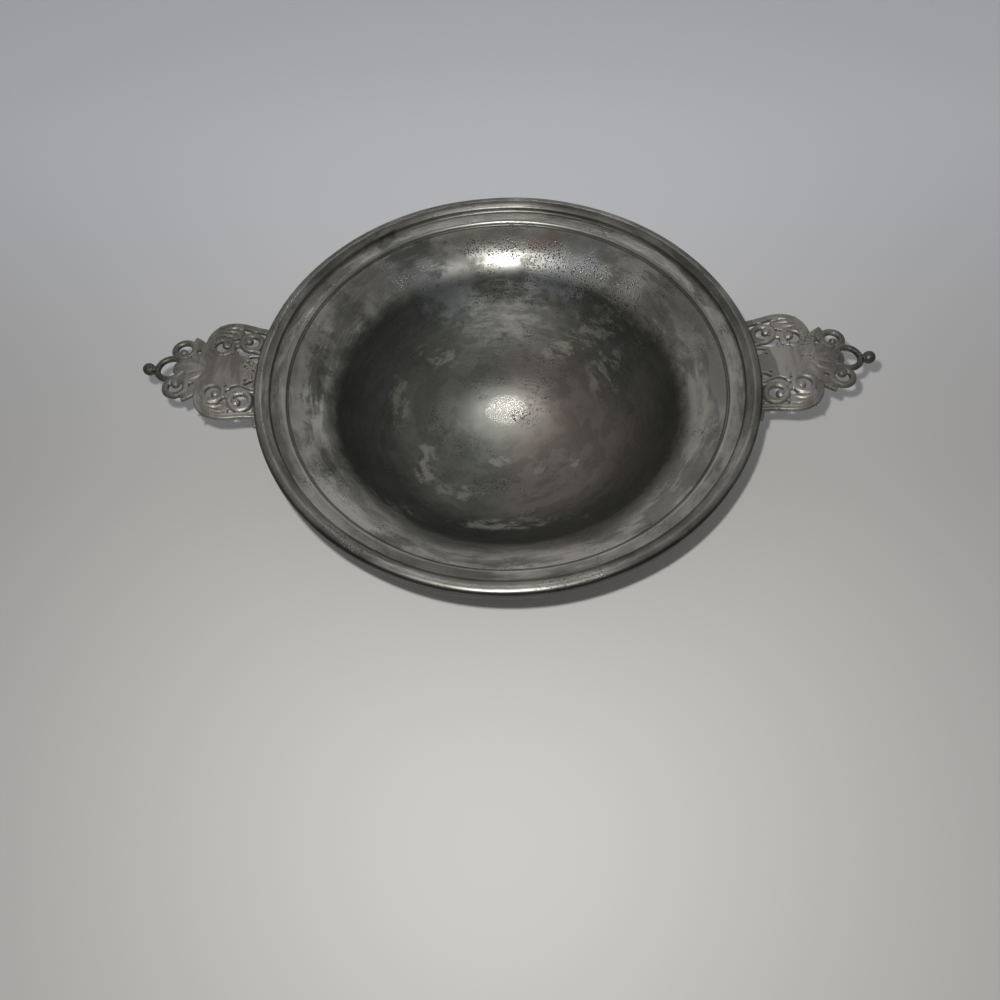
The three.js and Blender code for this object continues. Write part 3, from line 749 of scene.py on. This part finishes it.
def makeEar(name, turn, node):
    e = ear
    bm = bmesh.new()
    holes = [oval(32.8, sign * 11.2, 2.0, 1.2, sign * 45) for sign in (1, -1)]
    holes += [oval(6.2, sign * 6.1, 0.7, 0.6, 0) for sign in (1, -1)]
    addPlate(bm, [shieldOutline()] + holes, -e["thickness"] / 2, 1.1)
    for sign in (1, -1):
        addHalf(bm, sign)
    addFan(bm)
    addStroke(bm, arc(e["endLoop"]["at"], e["endLoop"]["radius"], 0, 360, 48), [e["strap"] - 0.15],
              e["strapHeight"] / e["strap"] * 0.95)
    addStroke(bm, [(51, 0), (e["ballOut"], 0)], [1.4, 1.5], 1.2)
    addBead(bm, e["ballOut"], 0, e["ball"])
    for vert in bm.verts:  # the back is cast flat
        if vert.co.x < (e["ballOut"] - e["ball"]) * mm:
            vert.co.z = max(vert.co.z, -e["thickness"] / 2 * mm)
    tilt = math.atan2(e["drop"] - e["tipDrop"], e["ballOut"])
    centre = bowl["rimHeight"] - e["drop"] - e["thickness"] / 2
    place = Matrix.Translation((bowl["rimRadius"] * mm, 0, centre * mm)) @ Matrix.Rotation(-tilt, 4, "Y")
    addStrip(bm, place)
    bm = fused(bm, e["voxel"])
    for vert in bm.verts:  # the casting bows up a little between its root and its tip
        share = min(max(vert.co.x / (e["ballOut"] - e["ball"]) / mm, 0), 1)
        vert.co.z += e["arch"] * mm * math.sin(math.pi * share) ** 0.8
    bm.transform(Matrix.Rotation(math.radians(turn), 4, "Z") @ place)
    newPiece(name, bm, [earPewter], "pewter_ear", node)


makeEar("earRight", 0, "ear_right")
makeEar("earLeft", 180, "ear_left")


# Floor: a matt pale board, painted duller in front and paler towards the back, as painted light that evens
# out the near lamp's falloff
board = {"half": 4000, "near": "#bebcb8", "far": "#f2f3f6", "from": -50, "to": 350, "roughness": 0.6}


def makeFloor():
    bm = bmesh.new()
    bmesh.ops.create_grid(bm, x_segments=1, y_segments=1, size=board["half"] * mm)
    mesh = bpy.data.meshes.new("floor")
    bm.to_mesh(mesh)
    bm.free()
    material, tree, shader = newMaterial("mattPaleBoard")
    y = add(tree, "SeparateXYZ", add(tree, "TexCoord", out="Object"), out="Y")
    # painted light: the board gets paler away from the near lamp
    away = add(tree, "MapRange SMOOTHSTEP", y, board["from"] * mm, board["to"] * mm)
    colour = add(tree, "Mix RGBA", away, board["near"], board["far"])
    tree.links.new(colour, shader.inputs["Base Color"])
    shader.inputs["Roughness"].default_value = board["roughness"]
    mesh.materials.append(material)
    floor = bpy.data.objects.new("floor", mesh)
    bpy.context.scene.collection.objects.link(floor)


makeFloor()


# Light: a small lamp close to the lens, a lamp high behind that adds no diffuse light, and a soft room that
# is pale at the back, duller overhead and dark in front
room = {"front": "#343436", "back": "#eeeff2", "ceiling": "#8b8c8f", "backFrom": -0.9, "backTo": 0.9,
        "ceilingFrom": 0.9, "ceilingTo": 0.1}
lamps = {
    "lensLamp": {"at": (-13.3, -236.8, 383.2), "size": 9, "power": 1.35, "lightsAll": True},
    "roomLamp": {"at": (-33, 1077, 1938), "size": 100, "power": 2.5, "lightsAll": False},
}


def makeLights():
    for name, lamp in lamps.items():
        light = bpy.data.lights.new(name, "AREA")
        light.shape = "DISK"
        light.size = lamp["size"] * mm
        light.energy = lamp["power"]
        holder = bpy.data.objects.new(name, light)
        holder.location = Vector(lamp["at"]) * mm
        holder.rotation_euler = (-Vector(lamp["at"])).to_track_quat("-Z", "Y").to_euler()
        holder.visible_diffuse = lamp["lightsAll"]
        bpy.context.scene.collection.objects.link(holder)


def makeRoom():
    world = bpy.data.worlds.new("paleRoom")
    world.use_nodes = True
    tree = world.node_tree
    heading = add(tree, "TexCoord", out="Generated")
    y, z = [add(tree, "SeparateXYZ", heading, out=axis) for axis in "YZ"]
    back = add(tree, "MapRange SMOOTHSTEP", y, room["backFrom"], room["backTo"])
    wall = add(tree, "MapRange SMOOTHSTEP", z, room["ceilingFrom"], room["ceilingTo"])
    around = add(tree, "Mix RGBA", back, room["front"], room["back"])
    colour = add(tree, "Mix RGBA", wall, room["ceiling"], around)
    tree.links.new(colour, tree.nodes["Background"].inputs["Color"])
    bpy.context.scene.world = world


makeLights()
makeRoom()
print("lights made")


# Camera, solved from the rim's ellipse
view = {"lens": 27.036, "place": (3.2, -258.4, 370.1), "down": 59.454, "yaw": 2.1, "roll": -2.574}


def makeCamera():
    data = bpy.data.cameras.new("camera")
    data.lens = view["lens"]
    data.sensor_width = 36
    camera = bpy.data.objects.new("camera", data)
    turn = (Matrix.Rotation(math.radians(view["yaw"]), 4, "Z")
            @ Matrix.Rotation(math.radians(90 - view["down"]), 4, "X")
            @ Matrix.Rotation(math.radians(view["roll"]), 4, "Z"))
    camera.matrix_world = Matrix.Translation(Vector(view["place"]) * mm) @ turn
    bpy.context.scene.collection.objects.link(camera)
    bpy.context.scene.camera = camera


makeCamera()
bpy.context.scene.view_settings.view_transform = "Standard"
